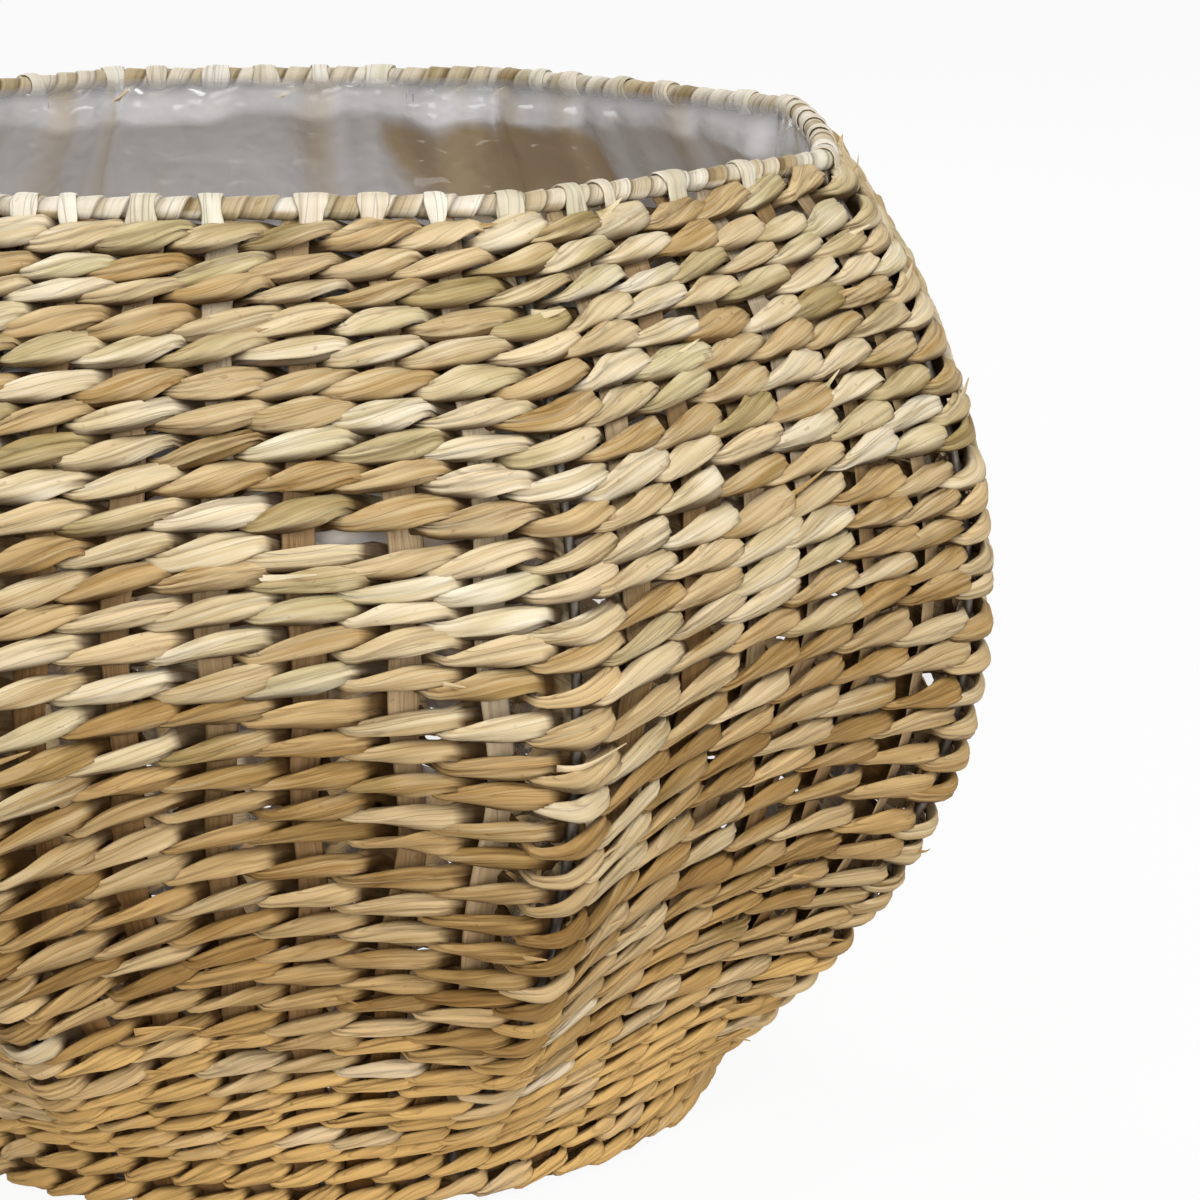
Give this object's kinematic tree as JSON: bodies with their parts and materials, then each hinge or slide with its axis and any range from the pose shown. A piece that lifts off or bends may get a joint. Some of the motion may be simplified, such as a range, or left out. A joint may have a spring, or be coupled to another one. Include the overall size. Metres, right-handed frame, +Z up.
{
  "type": "seagrass basket",
  "caption": "Bulging eight-sided planter basket of twined seagrass over a ribbed wire frame, with a wrapped rim, a round foot and a clear plastic liner.",
  "frame": {"origin": "middle of the underside, on the surface that the basket stands on", "axes": "+Z up through the open top; -Y faces one of the eight sides squarely, and the ribs stand between the sides"},
  "size_m": [0.3548, 0.3548, 0.2569],
  "materials": {
    "weft_grass": "dry seagrass leaves, twisted and twined, matte with a faint sheen on the flat faces",
    "stake_grass": "flat dry seagrass leaves, matte",
    "rim_grass": "flat strip of pale seagrass, matte",
    "base_grass": "woven dry seagrass, matte",
    "frame_wire": "plain drawn wire, welded where it meets",
    "liner_film": "thin see-through film with soft folds"
  },
  "bodies": {
    "root": {"base_weave": "base_grass", "base_wire": "frame_wire", "foot_row_1": "weft_grass", "foot_row_2": "weft_grass", "plastic_liner": "liner_film", "rib_wire_1": "frame_wire", "rib_wire_2": "frame_wire", "rib_wire_3": "frame_wire", "rib_wire_4": "frame_wire", "rib_wire_5": "frame_wire", "rib_wire_6": "frame_wire", "rib_wire_7": "frame_wire", "rib_wire_8": "frame_wire", "rim_wire": "frame_wire", "rim_wrapping": "rim_grass", "stakes_1": "stake_grass", "stakes_2": "stake_grass", "stakes_3": "stake_grass", "stakes_4": "stake_grass", "stakes_5": "stake_grass", "stakes_6": "stake_grass", "stakes_7": "stake_grass", "stakes_8": "stake_grass", "wall_row_01": "weft_grass", "wall_row_02": "weft_grass", "wall_row_03": "weft_grass", "wall_row_04": "weft_grass", "wall_row_05": "weft_grass", "wall_row_06": "weft_grass", "wall_row_07": "weft_grass", "wall_row_08": "weft_grass", "wall_row_09": "weft_grass", "wall_row_10": "weft_grass", "wall_row_11": "weft_grass", "wall_row_12": "weft_grass", "wall_row_13": "weft_grass", "wall_row_14": "weft_grass", "wall_row_15": "weft_grass", "wall_row_16": "weft_grass", "wall_row_17": "weft_grass", "wall_row_18": "weft_grass", "wall_row_19": "weft_grass", "wall_row_20": "weft_grass", "wall_row_21": "weft_grass", "wall_row_22": "weft_grass", "wall_row_23": "weft_grass", "wall_row_24": "weft_grass", "wall_row_25": "weft_grass", "wall_row_26": "weft_grass", "wall_row_27": "weft_grass", "wall_row_28": "weft_grass", "wall_row_29": "weft_grass", "wall_row_30": "weft_grass", "wall_row_31": "weft_grass", "wall_row_32": "weft_grass", "wall_row_33": "weft_grass", "wall_row_34": "weft_grass"}
  },
  "joints": []
}
